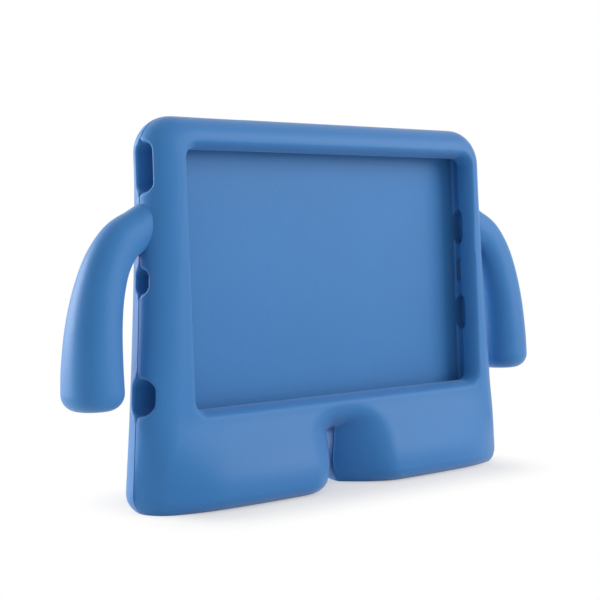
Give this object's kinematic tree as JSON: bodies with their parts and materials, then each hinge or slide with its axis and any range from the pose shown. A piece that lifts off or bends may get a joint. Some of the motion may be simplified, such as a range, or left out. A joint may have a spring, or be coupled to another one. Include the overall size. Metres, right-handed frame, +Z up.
{
  "type": "tablet case",
  "caption": "Children's foam case for a small tablet computer: a frame on two broad feet, with a curved carrying arm on each side.",
  "frame": {"origin": "on the floor, below the middle of the case's width and depth", "axes": "+X to the right as seen from the front, +Y to the back, +Z up; the front faces -Y"},
  "size_m": [0.2996, 0.0442, 0.1816],
  "materials": {
    "foam": "matte"
  },
  "bodies": {
    "root": {"case_body": "foam"}
  },
  "joints": []
}
